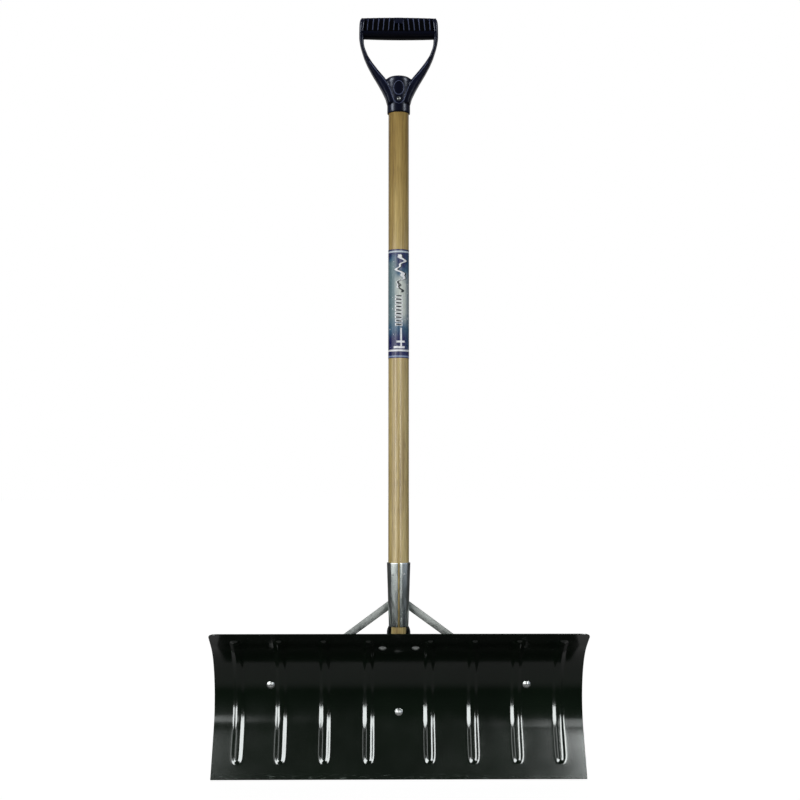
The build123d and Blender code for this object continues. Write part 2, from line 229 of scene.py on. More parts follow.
# %% [markdown]
# ## Materials
# Each finish is a small node tree. The pattern always comes from Object coordinates, so it stays
# put on the piece whatever the view. A helper makes the usual nodes in one line each, so that the
# functions below read like recipes: where the colour varies, how rough it is, and what the
# surface does at the scale of a millimetre.

# %% Small helpers for node trees
def node(tree, kind, **settings):
    """Add a node; settings go to its sockets when it has one of that name, else to the node."""
    made = tree.nodes.new(kind)
    for key, value in settings.items():
        socket = made.inputs.get(key.replace("_", " "))
        if socket is None:
            setattr(made, key, value)
        else:
            socket.default_value = value
    return made


def new_material(name):
    """An empty material with a Principled shader already joined to its output."""
    material = bpy.data.materials.new(name)
    material.use_nodes = True
    tree = material.node_tree
    tree.nodes.clear()
    shader = node(tree, "ShaderNodeBsdfPrincipled")
    output = node(tree, "ShaderNodeOutputMaterial")
    feed(output.inputs["Surface"], shader.outputs["BSDF"])
    return material, tree, shader


def coordinates(tree, scale=(1, 1, 1), location=(0, 0, 0)):
    """Object coordinates, in metres, stretched by a scale."""
    where = node(tree, "ShaderNodeTexCoord")
    mapping = node(tree, "ShaderNodeMapping", Scale=scale, Location=location)
    feed(mapping.inputs["Vector"], where.outputs["Object"])
    return mapping.outputs["Vector"]


def noise(tree, vector, scale, detail=3.0, roughness=0.5, distortion=0.0):
    made = node(tree, "ShaderNodeTexNoise", Scale=scale, Detail=detail, Roughness=roughness,
                Distortion=distortion)
    feed(made.inputs["Vector"], vector)
    return made.outputs["Fac"]


def ramp(tree, value, stops, interpolation="LINEAR"):
    """A colour ramp from (position, colour) stops; a single number stands for a grey."""
    made = node(tree, "ShaderNodeValToRGB")
    made.color_ramp.interpolation = interpolation
    elements = made.color_ramp.elements
    while len(elements) < len(stops):
        elements.new(0.5)
    for element, (position, colour) in zip(elements, stops):
        element.position = position
        colour = (colour, colour, colour) if isinstance(colour, (int, float)) else colour
        element.color = (*colour, 1.0)
    feed(made.inputs["Fac"], value)
    return made.outputs["Color"]


def feed(socket, value):
    """Link another node's value into a socket, or set the socket to a plain number."""
    if isinstance(value, bpy.types.NodeSocket):
        value.id_data.links.new(value, socket)
    else:
        socket.default_value = value


def maths(operation, first, second=0.0, clamp=False):
    """One Math node, in the node tree that its inputs come from."""
    tree = (first if isinstance(first, bpy.types.NodeSocket) else second).id_data
    made = node(tree, "ShaderNodeMath", operation=operation, use_clamp=clamp)
    feed(made.inputs[0], first)
    feed(made.inputs[1], second)
    return made.outputs["Value"]


def plus(first, second):
    return maths("ADD", first, second)


def minus(first, second):
    return maths("SUBTRACT", first, second)


def times(first, second, clamp=False):
    return maths("MULTIPLY", first, second, clamp)


def over(first, second):
    return maths("DIVIDE", first, second)


def size_of(value):
    return maths("ABSOLUTE", value)


def above(value, limit):
    return maths("GREATER_THAN", value, limit)


def below(value, limit):
    return maths("LESS_THAN", value, limit)


def band(value, low, high):
    """1 where the value lies between two numbers."""
    return times(above(value, low), below(value, high))


def mix_colour(tree, factor, first, second, blend="MIX"):
    made = node(tree, "ShaderNodeMix", data_type="RGBA", blend_type=blend)
    for index, value in ((0, factor), (6, first), (7, second)):
        feed(made.inputs[index], (*value, 1.0) if isinstance(value, tuple) else value)
    return made.outputs[2]


def bump(tree, shader, height, strength, distance):
    made = node(tree, "ShaderNodeBump", Strength=strength, Distance=distance)
    feed(made.inputs["Height"], height)
    feed(shader.inputs["Normal"], made.outputs["Normal"])


def parts_of(tree, vector):
    """The X, Y and Z of a vector, or the three channels of a colour."""
    made = node(tree, "ShaderNodeSeparateXYZ")
    feed(made.inputs["Vector"], vector)
    return made.outputs["X"], made.outputs["Y"], made.outputs["Z"]


print("node helpers ready")

# %% [markdown]
# ### Blade enamel
# The blade is dipped in a black-green enamel. It is nearly a mirror, but the film dries with a
# faint orange peel, so reflections have soft edges. Along the scraping edge the first centimetre
# has fine dry scratches. Colour does little here: reflections do the work.

# %% Blade enamel
SCRATCHED = 10 * MM              # height of the scratched border


def blade_enamel():
    material, tree, shader = new_material("blade_enamel")
    where = coordinates(tree)
    cloud = noise(tree, where, 9.0, detail=4)
    tint = ramp(tree, cloud, [(0.3, (0.0003, 0.0011, 0.0004)), (0.7, (0.0006, 0.0018, 0.0007))])
    streaks = noise(tree, coordinates(tree, (60, 60, 700)), 1.0, detail=6, roughness=0.7)
    height = parts_of(tree, where)[2]
    near_edge = times(minus(SCRATCHED, height), 1 / SCRATCHED, clamp=True)
    scratch = times(near_edge, above(streaks, 0.60))
    feed(shader.inputs["Base Color"], mix_colour(tree, scratch, tint, (0.035, 0.040, 0.036)))
    gloss = ramp(tree, noise(tree, where, 26.0, detail=5), [(0.25, 0.12), (0.8, 0.17)])
    feed(shader.inputs["Roughness"], gloss)
    peel = noise(tree, where, 420.0, detail=2)
    bump(tree, shader, peel, 0.05, 0.0004)
    return material


BLADE_ENAMEL = blade_enamel()
print("blade enamel", len(BLADE_ENAMEL.node_tree.nodes), "nodes")

# %% [markdown]
# ### Bracket enamel
# The pressed bracket is sprayed with a cheaper, flatter black. It is a little rougher and shows
# grey dust in its hollows.

# %% Bracket enamel
def bracket_enamel():
    material, tree, shader = new_material("bracket_enamel")
    where = coordinates(tree)
    dust = ramp(tree, noise(tree, where, 30.0, detail=6), [(0.35, (0.006, 0.006, 0.007)),
                                                          (0.75, (0.016, 0.017, 0.018))])
    feed(shader.inputs["Base Color"], dust)
    gloss = ramp(tree, noise(tree, where, 60.0), [(0.3, 0.16), (0.7, 0.26)])
    feed(shader.inputs["Roughness"], gloss)
    bump(tree, shader, noise(tree, where, 700.0, detail=3), 0.12, 0.0005)
    return material


BRACKET_ENAMEL = bracket_enamel()
print("bracket enamel ready")

# %% [markdown]
# ### Galvanised steel
# Hot-dip zinc freezes in flat crystals, each with its own lustre. A Voronoi pattern gives the
# crystals, and each cell takes its own grey and its own roughness. The same recipe serves the
# ferrule, where rolling has smeared the crystals along the cone, and the braces.

# %% Galvanised steel
def galvanised(name, dark, light, rough_low, rough_high, stretch=(1, 1, 1)):
    material, tree, shader = new_material(name)
    crystal = node(tree, "ShaderNodeTexVoronoi", Scale=170.0, feature="F1")
    feed(crystal.inputs["Vector"], coordinates(tree, stretch))
    cell = parts_of(tree, crystal.outputs["Color"])[0]
    cloud = noise(tree, coordinates(tree), 40.0, detail=5)
    lustre = plus(times(cell, 0.6), times(cloud, 0.4))
    feed(shader.inputs["Base Color"], ramp(tree, lustre, [(0.2, dark), (0.8, light)]))
    gloss = ramp(tree, lustre, [(0.15, rough_low), (0.85, rough_high)])
    feed(shader.inputs["Roughness"], gloss)
    shader.inputs["Metallic"].default_value = 1.0
    bump(tree, shader, noise(tree, coordinates(tree), 900.0, detail=3), 0.06, 0.0004)
    return material


FERRULE_ZINC = galvanised("ferrule_zinc", (0.56, 0.62, 0.60), (0.68, 0.73, 0.71), 0.13, 0.20,
                          (1, 1, 0.35))
STRIP_ZINC = galvanised("strip_zinc", (0.36, 0.39, 0.37), (0.52, 0.55, 0.53), 0.40, 0.55)
print("galvanised steel ready")

# %% [markdown]
# ### Bright zinc plate
# Bolts, nuts, washers and screws are electroplated: brighter, smoother and bluer than the dipped
# strips, with tiny tumbling marks.

# %% Bright zinc plate
def bright_zinc():
    material, tree, shader = new_material("bright_zinc")
    where = coordinates(tree)
    cloud = noise(tree, where, 250.0, detail=4)
    tint = ramp(tree, cloud, [(0.3, (0.60, 0.63, 0.62)), (0.7, (0.80, 0.82, 0.80))])
    feed(shader.inputs["Base Color"], tint)
    gloss = ramp(tree, noise(tree, where, 600.0), [(0.3, 0.24), (0.7, 0.38)])
    feed(shader.inputs["Roughness"], gloss)
    shader.inputs["Metallic"].default_value = 1.0
    bump(tree, shader, noise(tree, where, 1500.0), 0.05, 0.0002)
    return material


BRIGHT_ZINC = bright_zinc()
print("bright zinc ready")

# %% [markdown]
# ### Varnished ash
# Ash grows in wide, straight rings, so a turned handle shows long stripes with fine dark pores.
# The stripes come from noise stretched thirty times along Z, the pores from a finer noise cut to
# its darkest part. The colour is multiplied by a tone that follows the height: a painted sheen,
# lighter and bluer low on the handle and darker and browner towards the grip. A clear coat on
# top is the varnish: it carries the pale reflections.

# %% Varnished ash
def varnished_ash():
    material, tree, shader = new_material("varnished_ash")
    broad = noise(tree, coordinates(tree, (1, 1, 0.035)), 130.0, detail=4, roughness=0.6,
                  distortion=0.4)
    rings = noise(tree, coordinates(tree, (1, 1, 0.02)), 420.0, detail=3)
    figure = plus(times(broad, 0.62), times(rings, 0.38))
    wood = ramp(tree, figure, [(0.34, (0.200, 0.125, 0.034)), (0.46, (0.370, 0.255, 0.080)),
                               (0.56, (0.480, 0.355, 0.130)), (0.70, (0.570, 0.450, 0.190))])
    pores = noise(tree, coordinates(tree, (1, 1, 0.03)), 1500.0, detail=2)
    open_pore = ramp(tree, pores, [(0.36, 0.45), (0.46, 1.0)])
    coloured = mix_colour(tree, 0.55, wood, open_pore, "MULTIPLY")
    height = parts_of(tree, coordinates(tree))[2]
    # painted sheen: lighter and bluer low on the handle, darker and browner towards the grip
    painted_sheen = ramp(tree, height, [(0.30, (1.22, 1.30, 1.45)), (0.75, (1.03, 1.05, 1.03)),
                               (0.95, (0.95, 0.92, 0.80)), (1.0, (0.76, 0.70, 0.52))])
    feed(shader.inputs["Base Color"], mix_colour(tree, 1.0, coloured, painted_sheen, "MULTIPLY"))
    feed(shader.inputs["Roughness"], ramp(tree, figure, [(0.3, 0.50), (0.7, 0.36)]))
    shader.inputs["Coat Weight"].default_value = 0.75
    shader.inputs["Coat Roughness"].default_value = 0.10
    bump(tree, shader, pores, 0.10, 0.0004)
    return material


ASH = varnished_ash()
print("varnished ash ready")

# %% [markdown]
# ### Grip plastic
# The grip is moulded in navy plastic. The mould was lightly sparked, so the skin has a fine even
# grain; the colour drifts a little where the melt flowed. The raised lines and the front edges of
# the fins get a paler blue: a painted highlight, where those edges catch the light. Those places
# are worked out from the same sizes that the lines and fins are built with further down, so colour
# and shape stay together.

# %% Grip sizes that its finish needs
V_LINE = ((50, 1198), (42, 1187), (34, 1176.5), (27, 1169), (21, 1161), (16.5, 1153),
          (13.5, 1145), (11, 1137), (8.5, 1130), (5, 1125), (0, 1122.8))
PLAQUE = (8.5, 11.5, 1150.0)     # half width, half height and middle of the oval plaque
LINE_HALF = 1 * MM               # half width of the painted highlight along the V
ARM_FRONT = HANDLE_Y - 6 * MM
BAR_FRONT = HANDLE_Y - 9 * MM
FIN_COUNT = 13
FIN_PITCH = 9 * MM
FIN_LEAN = 2.6 * MM
FIN_FLOOR = 1250 * MM
FIN_TOP = 1277 * MM
FIN_EDGE = 0.075                 # half width of the painted highlight on a fin's edge, as a share of the pitch
PAD_HALF = 7.6 * MM              # the solid pad in the middle of the crossbar
PAD_LOW = 1264 * MM
# the paler blue of the painted highlight on the raised lines and the fins' edges
PAINTED_HIGHLIGHT = (0.110, 0.125, 0.200)
print("V of", len(V_LINE), "points,", FIN_COUNT, "fins")


# %% Grip plastic
def painted_line_highlight(tree, where):
    """1 on the front of the grip where its raised lines run: the place of their painted highlight.
    """
    x, y, z = parts_of(tree, where)
    out = size_of(x)
    low, high = V_LINE[-1][1], V_LINE[0][1]
    share = over(minus(z, low * MM), (high - low) * MM)
    reach = ramp(tree, share, [((level - low) / (high - low), width / 100)
                               for width, level in reversed(V_LINE)])
    miss = size_of(minus(out, times(reach, 100 * MM)))
    on_v = times(below(miss, LINE_HALF), band(share, 0.0, 1.0))
    wide, tall, centre = [size * MM for size in PLAQUE]
    ring = plus(maths("POWER", over(out, wide), 2.0),
                maths("POWER", size_of(over(minus(z, centre), tall)), 2.0))
    either = maths("MAXIMUM", on_v, band(ring, 0.84, 1.18))
    return times(either, below(y, ARM_FRONT))


def painted_fin_highlight(tree, where):
    """1 on the front edges of the fins in the crossbar: the place of their painted highlight."""
    x, y, z = parts_of(tree, where)
    out = size_of(x)
    height = over(minus(z, FIN_FLOOR), FIN_TOP - FIN_FLOOR)
    side = maths("MAXIMUM", -1.0, maths("MINIMUM", 1.0, over(x, FIN_PITCH)))
    upright = plus(x, times(times(height, side), FIN_LEAN))
    step = maths("FRACT", plus(over(upright, FIN_PITCH), 0.5))
    on_fin = times(below(size_of(minus(step, 0.5)), FIN_EDGE),
                   band(z, FIN_FLOOR + 2 * MM, FIN_TOP - 3 * MM))
    on_pad = times(below(out, PAD_HALF), above(z, PAD_LOW))
    free = minus(below(out, FIN_COUNT / 2 * FIN_PITCH), on_pad)
    return times(times(on_fin, free, clamp=True), below(y, BAR_FRONT))


def grip_plastic():
    material, tree, shader = new_material("grip_plastic")
    where = coordinates(tree)
    flow = noise(tree, where, 22.0, detail=4, distortion=0.6)
    skin = ramp(tree, flow, [(0.3, (0.0014, 0.0028, 0.0120)), (0.7, (0.0026, 0.0050, 0.0240))])
    # painted highlight: the paler blue goes on the raised lines and the fins' front edges
    wear_and_painted_highlight = maths("MAXIMUM", painted_line_highlight(tree, where), painted_fin_highlight(tree, where))
    feed(shader.inputs["Base Color"], mix_colour(tree, wear_and_painted_highlight, skin, PAINTED_HIGHLIGHT))
    gloss = ramp(tree, noise(tree, where, 90.0), [(0.3, 0.28), (0.7, 0.34)])
    feed(shader.inputs["Roughness"], gloss)
    bump(tree, shader, noise(tree, where, 700.0, detail=2), 0.012, 0.0001)
    return material


GRIP_PLASTIC = grip_plastic()
print("grip plastic ready")

# %% [markdown]
# ## The blade
# A real blade is one sheet: sheared, ribbed in a press, rolled and trimmed. The same order works
# here. Start with one edge, the scraping edge. Extrude it up the lower flat, spin it round the
# bend and extrude the lip. Then cut the sheet where the ribs begin, raise each rib with a few
# insets, smooth the lot with Subdivision Surface and give it its thickness last, so that the
# back follows the front as pressed metal does.

# %% Blade sizes
BLADE_WIDTH = blade_high.x - blade_low.x
SHEET = 1.5 * MM
LEAN = radians(28.7)             # the lower flat leans back from vertical
FLAT_ROWS = (23, 26, 33, 54, 77)         # millimetres up the lower flat, where the sheet is cut
LIP_ROWS = (8, 16.5, 23.5, 26.5, 48.5)   # the same for the lip
EDGE_FLAT = FLAT_ROWS[-1] * MM
LIP_FLAT = LIP_ROWS[-1] * MM
BEND_RADIUS = 108 * MM
LIP_CORNER = 12 * MM
RIB_PLACES = [side * x * MM for x in (50, 122, 194, 264) for side in (-1, 1)]
RIB_HALF = 10.5 * MM             # half width of the strip that each rib rises from
RIB_START = FLAT_ROWS[0] * MM    # from the scraping edge to the ribs
RIB_LIP = LIP_ROWS[3] * MM       # how far the ribs run up the lip
RIB_RINGS = ((1.1, 0.07), (1.3, 0.38), (1.6, 0.76), (1.6, 0.76), (1.4, 0.46), (1.1, 0.13))
NEAR = 0.1 * MM
UP_FLAT = Vector((0, sin(LEAN), cos(LEAN)))
FORWARD = Vector((0, -cos(LEAN), sin(LEAN)))    # out of the flat's front, and up the lip
FOOT = FORWARD * (SHEET / 2)
BEND_CENTRE = FOOT + UP_FLAT * EDGE_FLAT + FORWARD * BEND_RADIUS
LIP_START = BEND_CENTRE + UP_FLAT * BEND_RADIUS
print("blade", round(BLADE_WIDTH, 4), "wide, bend centre", [round(v, 4) for v in BEND_CENTRE])


# %% The rolled sheet
def extrude_by(step):
    bpy.ops.mesh.extrude_region_move(TRANSFORM_OT_translate={"value": step})


def cut(place, direction):
    """Cut the whole mesh along a plane, and keep both sides."""
    pick_all()
    bpy.ops.mesh.bisect(plane_co=place, plane_no=direction)


def extrude_rows(direction, heights):
    """Extrude the selected edge again and again, to each height in millimetres."""
    reached = 0.0
    for height in heights:
        extrude_by(direction * (height * MM - reached))
        reached = height * MM


def rolled_sheet():
    """The plain sheet, from its lower edge up: flat, bend, lip, rounded upper corners."""
    clean_slate()
    bpy.ops.mesh.primitive_plane_add(size=BLADE_WIDTH,
                                     location=FOOT + Vector((0, BLADE_WIDTH / 2, 0)))
    sheet = settle("blade_sheet")
    edit(sheet)
    pick("VERT", lambda v: v.co.y > BLADE_WIDTH / 2)
    bpy.ops.mesh.delete(type="VERT")
    pick("EDGE", lambda e: True)
    extrude_rows(UP_FLAT, FLAT_ROWS)
    bpy.ops.mesh.spin(steps=15, angle=-pi / 2, center=BEND_CENTRE, axis=(1, 0, 0))
    extrude_rows(FORWARD, LIP_ROWS)
    pick("VERT", lambda v: (v.co - LIP_START).dot(FORWARD) > LIP_FLAT - MM)
    bpy.ops.mesh.bevel(offset=LIP_CORNER, segments=5, affect="VERTICES")
    turn_outwards()
    if pick("FACE", lambda f: f.normal.dot(FORWARD) > 0.9) == 0:
        pick_all()
        bpy.ops.mesh.flip_normals()
    done_editing()
    return sheet


blade_sheet = rolled_sheet()
print("sheet of", len(blade_sheet.data.polygons), "faces")


# %% The ribs
def rib_columns():
    """Cut the sheet along both sides of every rib."""
    for x in RIB_PLACES:
        for border in (x - RIB_HALF, x + RIB_HALF):
            cut((border, 0, 0), (1, 0, 0))


def narrow_row(start, direction, distance, factor):
    """Draw each rib's side points together on one row of the sheet, to round its end."""
    for x in RIB_PLACES:
        pick("VERT", lambda v: abs(v.co.x - x) < RIB_HALF + NEAR
             and abs((v.co - start).dot(direction) - distance) < NEAR)
        bpy.ops.transform.resize(value=(factor, 1, 1), center_override=(x, 0, 0))


def on_rib(face):
    place = middle(face)
    beside = min(abs(place.x - x) for x in RIB_PLACES) < RIB_HALF + NEAR
    above_foot = (place - FOOT).dot(UP_FLAT) > RIB_START
    below_lip = (place - LIP_START).dot(FORWARD) < RIB_LIP
    return beside and above_foot and below_lip


def press_ribs(sheet):
    """Raise the ribs to the front: each inset is one ring of the pressed flank."""
    edit(sheet)
    rib_columns()
    for start, direction, outer, inner in ((FOOT, UP_FLAT, FLAT_ROWS[0], FLAT_ROWS[1]),
                                           (LIP_START, FORWARD, LIP_ROWS[3], LIP_ROWS[2])):
        narrow_row(start, direction, outer * MM, 0.32)
        narrow_row(start, direction, inner * MM, 0.74)
    count = pick("FACE", on_rib)
    for ring, rise in RIB_RINGS:
        bpy.ops.mesh.inset(thickness=ring * MM, depth=rise * MM, use_even_offset=True)
    done_editing()
    return count


print("ribs raised from", press_ribs(blade_sheet), "faces")

# %% [markdown]
# The subdivision keeps the sheet's lower corners, the solidify puts the metal behind the front
# surface, and a narrow bevel takes the burr off the sheared edge. The shading angle is kept
# small, so that the bevel doesn't smear its highlight over the flat sheet beside it.

# %% Smooth, thicken and finish the blade
apply_modifier(blade_sheet, "SUBSURF", levels=2, render_levels=2,
               boundary_smooth="PRESERVE_CORNERS")
apply_modifier(blade_sheet, "SOLIDIFY", thickness=SHEET, offset=-1.0, use_even_offset=True)
break_edges(blade_sheet, 0.3 * MM, 2, 60)
hand_over(blade_sheet, BLADE_ENAMEL, "blade_paint", "blade", crease=18)

# %% [markdown]
# ## Turned parts
# Handle, ferrule, label and nails are all rings of one axis. A circle is extruded from height to
# height and scaled at each, just as a lathe tool would follow the same profile.

# %% The lathe
def turn(name, stations, centre=(0.0, 0.0), sides=64, filled=True):
    """Raise a circle through (height, radius) stations, in metres, about a vertical axis."""
    clean_slate()
    height, radius = stations[0]
    bpy.ops.mesh.primitive_circle_add(vertices=sides, radius=radius,
                                      fill_type="NGON" if filled else "NOTHING",
                                      location=(centre[0], centre[1], height))
    piece = settle(name)
    edit(piece)
    for next_height, next_radius in stations[1:]:
        extrude_by((0, 0, next_height - height))
        ratio = next_radius / radius
        bpy.ops.transform.resize(value=(ratio, ratio, 1),
                                 center_override=(centre[0], centre[1], next_height))
        height, radius = next_height, next_radius
    done_editing()
    tidy_normals(piece)
    return piece


print("lathe ready")

# %% [markdown]
# ## The ash handle
# The handle is turned from one ash blank. Its lower end is tapered to seat in the ferrule, and
# both end edges are broken so that they don't splinter.

# %% Handle
HANDLE_AXIS = (0.0, HANDLE_Y)
SHAFT_R = (shaft_high.x - shaft_low.x) / 2
TIP_R = 12.6 * MM
ferrule_low, ferrule_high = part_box("ferrule")
taper_start = ferrule_low.z - 2 * MM
taper_end = ferrule_high.z - 4 * MM
foot_z, top_z = shaft_low.z, shaft_high.z
handle_profile = [(foot_z, TIP_R - 1.5 * MM), (foot_z + 0.5 * MM, TIP_R - 0.5 * MM),
                  (foot_z + 1.5 * MM, TIP_R), (taper_start - 2 * MM, TIP_R),
                  (taper_start + 2 * MM, TIP_R + 0.1 * MM),
                  (taper_end - 2 * MM, SHAFT_R - 0.1 * MM), (taper_end + 2 * MM, SHAFT_R),
                  (top_z - 2 * MM, SHAFT_R), (top_z - 0.6 * MM, SHAFT_R - 0.6 * MM),
                  (top_z, SHAFT_R - 2 * MM)]
handle = turn("ash_handle", handle_profile, HANDLE_AXIS, sides=96)
hand_over(handle, ASH, "ash", "handle_shaft")

# %% [markdown]
# ## The ferrule
# The ferrule is a strip of galvanised sheet rolled into a cone. Its two edges don't quite meet at
# the front, so the wood shows in a narrow seam. The open circle is raised into a cone, cut beside
# the seam, and the strip between the cuts is deleted. Solidify then puts the wall inside, and a
# small bevel breaks the sheared edges.

# %% Ferrule
FERRULE_LOW_R = 16.45 * MM
FERRULE_HIGH_R = 19.75 * MM
SEAM_HALF = 1.5 * MM
FERRULE_WALL = 1.5 * MM
FERRULE_SHARES = (0, 0.015, 0.04, 0.2, 0.4, 0.6, 0.8, 0.96, 0.985, 1)


def ferrule_radius(height):
    share = (height - ferrule_low.z) / (ferrule_high.z - ferrule_low.z)
    return FERRULE_LOW_R + (FERRULE_HIGH_R - FERRULE_LOW_R) * share


def make_ferrule():
    heights = [ferrule_low.z + share * (ferrule_high.z - ferrule_low.z)
               for share in FERRULE_SHARES]
    profile = [(height, ferrule_radius(height)) for height in heights]
    shell = turn("ferrule_shell", profile, HANDLE_AXIS, sides=120, filled=False)
    edit(shell)
    for side in (-1, 1):
        cut((side * SEAM_HALF, 0, 0), (1, 0, 0))
    pick("FACE", lambda f: abs(middle(f).x) < SEAM_HALF and middle(f).y < HANDLE_Y)
    bpy.ops.mesh.delete(type="FACE")
    pick_all()
    bpy.ops.mesh.normals_make_consistent(inside=False)
    if pick("FACE", lambda f: f.normal.y > 0.9 and middle(f).y < HANDLE_Y):
        pick_all()
        bpy.ops.mesh.flip_normals()
    done_editing()
    apply_modifier(shell, "SOLIDIFY", thickness=FERRULE_WALL, offset=-1.0, use_even_offset=True)
    break_edges(shell, 0.35 * MM, 3, 60)
    return shell


ferrule = make_ferrule()
hand_over(ferrule, FERRULE_ZINC, "galvanised", "ferrule")

# %% [markdown]
# ## Nails beside the seam
# Two small nails hold the ferrule. Each has a low domed head and a thin shank. One is turned
# along Z and copied to its place with a matrix that points its head out of the cone.

# %% Brads
BRAD_TURN = radians(31)
BRAD_PROFILE = ((-13, 0.1), (-11.5, 0.9), (0, 0.9), (0, 1.7), (0.15, 1.9), (0.4, 1.8),
                (0.68, 1.3), (0.8, 0.5))         # height and radius, in millimetres
brad_height = ferrule_high.z - 19 * MM


def facing(spot, out, up=Vector((0, 0, 1))):
    """A matrix that puts a part's Z axis along out, at a spot."""
    out = out.normalized()
    side = up.cross(out).normalized()
    rotation = Matrix((side, out.cross(side), out)).transposed().to_4x4()
    return Matrix.Translation(spot) @ rotation


def brad_place(side):
    out = Vector((sin(side * BRAD_TURN), -cos(side * BRAD_TURN), 0))
    stand_off = ferrule_radius(brad_height) + 0.05 * MM
    return facing(Vector((0, HANDLE_Y, brad_height)) + out * stand_off, out)


brad = turn("ferrule_brad_left", [(z * MM, r * MM) for z, r in BRAD_PROFILE], sides=24)
brad_right = copy_piece(brad, "ferrule_brad_right", brad_place(1))
brad.data.transform(brad_place(-1))
for nail in (brad, brad_right):
    hand_over(nail, BRIGHT_ZINC, "zinc", "ferrule_brads")

# %% [markdown]
# ## The printed sleeve
# The label is a thin film, wrapped once and lapped at the back. The tube gets its film thickness
# from Solidify, and the lap is a narrow strip at the rear drawn outwards by the film's thickness.
# The print is worked out in the material from the height and from the angle round the handle:
# bands of winter blues, two wavy brush strokes with dark rims, a ladder of ticks, three pale bars
# and specks of snow. Nothing on it is a word or a mark. Each shape is a mask, 1 inside and 0
# outside, and the inks are laid one over the other as a printer would.

# %% Label inks and shapes
label_low, label_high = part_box("label_sleeve")
LABEL_HEIGHT = label_high.z - label_low.z
FILM = 0.25 * MM
LAP = 7 * MM
NAVY = (0.008, 0.013, 0.095)
STEEL_BLUE = (0.040, 0.115, 0.200)
TEAL_GREY = (0.130, 0.210, 0.235)
FROST = (0.560, 0.610, 0.560)
WHITE_INK = (0.800, 0.820, 0.840)
DARK_INK = (0.010, 0.018, 0.020)
DULL_INK = (0.23, 0.30, 0.46)
PALE_INK = (0.52, 0.60, 0.66)
# Heights are shares of the label's height, and places across it are angles from its front.
LEFT_SHADES = [(0.17, NAVY), (0.27, STEEL_BLUE), (0.38, TEAL_GREY), (0.86, TEAL_GREY),
               (0.92, STEEL_BLUE), (0.97, NAVY)]
RIGHT_SHADES = [(0.18, NAVY), (0.28, STEEL_BLUE), (0.42, FROST), (0.70, FROST),
                (0.80, STEEL_BLUE), (0.86, NAVY)]
RINGS = ((NAVY, 0.0, 0.062), (WHITE_INK, 0.060, 0.077), (NAVY, 0.012, 0.050),
         (DULL_INK, 0.008, 0.022), (NAVY, 0.0, 0.004), (NAVY, 0.962, 1.01),
         (PALE_INK, 0.970, 0.986))       # ink, low and high
STROKES = ((DARK_INK, 0.30, 0.34, 0.160, 0.655, 0.955),
           (WHITE_INK, 0.18, 0.34, 0.145, 0.675, 0.95),
           (DARK_INK, 0.10, 0.22, 0.100, 0.600, 0.72),
           (WHITE_INK, 0.02, 0.22, 0.060, 0.640, 0.72))  # ink, centre, swing, width, low, high
TICKS = ((WHITE_INK, -0.55, 0.36), (DARK_INK, 0.20, 0.27))       # ink, thinness, reach
BARS = ((0.095, 0.275, 0.16, 0.30), (0.140, 0.158, -0.22, 0.60),
        (0.088, 0.108, -0.52, 0.60))     # low, high, left end, right end
WAVES = 7.0
print("label", round(LABEL_HEIGHT, 4), "high")


# %% Label print
def wave_stroke(across, up, centre, swing, width, low, high):
    """A wavy brush stroke along the sleeve that swells and thins as it goes."""
    phase = times(up, WAVES * 2 * pi)
    sway = plus(maths("SINE", phase), times(maths("SINE", times(phase, 2.6)), 0.45))
    away = size_of(minus(across, plus(times(sway, swing), centre)))
    pressure = maths("SINE", times(up, WAVES * 6.1))
    nib = plus(times(pressure, width * 0.45), width)
    return times(below(away, nib), band(up, low, high))


def snow(tree, where):
    """Rare small specks."""
    flakes = node(tree, "ShaderNodeTexVoronoi", Scale=210.0, feature="F1")
    feed(flakes.inputs["Vector"], where)
    rare = above(parts_of(tree, flakes.outputs["Color"])[1], 0.86)
    return times(rare, below(flakes.outputs["Distance"], 0.17))


def label_print():
    material, tree, shader = new_material("label_print")
    where = coordinates(tree, location=(0, -HANDLE_Y, -label_low.z))
    x, y, z = parts_of(tree, where)
    up = over(z, LABEL_HEIGHT)
    across = maths("ARCTAN2", x, times(y, -1.0))
    drift = plus(up, times(minus(noise(tree, where, 45.0, detail=4), 0.5), 0.16))
    side = ramp(tree, plus(times(across, 0.5), 0.5), [(0.24, 0.0), (0.52, 1.0)])
    colour = mix_colour(tree, side, ramp(tree, drift, LEFT_SHADES),
                        ramp(tree, drift, RIGHT_SHADES))
    glow = ramp(tree, size_of(minus(across, 1.15)), [(0.2, 0.55), (0.55, 0.0)])
    colour = mix_colour(tree, glow, colour, STEEL_BLUE)
    masks = [(ink, band(up, low, high)) for ink, low, high in RINGS]
    masks += [(ink, wave_stroke(across, up, *sizes)) for ink, *sizes in STROKES]
    rhythm = maths("SINE", plus(times(up, 190.0), times(across, 1.6)))
    ladder = band(up, 0.285, 0.575)
    masks += [(ink, times(above(rhythm, level), times(ladder, band(across, -reach, reach))))
              for ink, level, reach in TICKS]
    masks += [(WHITE_INK, times(band(up, low, high), band(across, left, right)))
              for low, high, left, right in BARS]
    masks.append((WHITE_INK, times(snow(tree, where), band(up, 0.09, 0.95))))
    for ink, mask in masks:
        colour = mix_colour(tree, mask, colour, ink)
    wear_and_painted_highlight = ramp(tree, noise(tree, where, 900.0, detail=4), [(0.40, 0.82), (0.55, 1.0)])
    feed(shader.inputs["Base Color"], mix_colour(tree, 0.6, colour, wear_and_painted_highlight, "MULTIPLY"))
    gloss = ramp(tree, noise(tree, where, 120.0), [(0.3, 0.22), (0.7, 0.34)])
    feed(shader.inputs["Roughness"], gloss)
    bump(tree, shader, noise(tree, where, 500.0, detail=3), 0.08, 0.0004)
    return material


LABEL_PRINT = label_print()
print("label print", len(LABEL_PRINT.node_tree.nodes), "nodes")


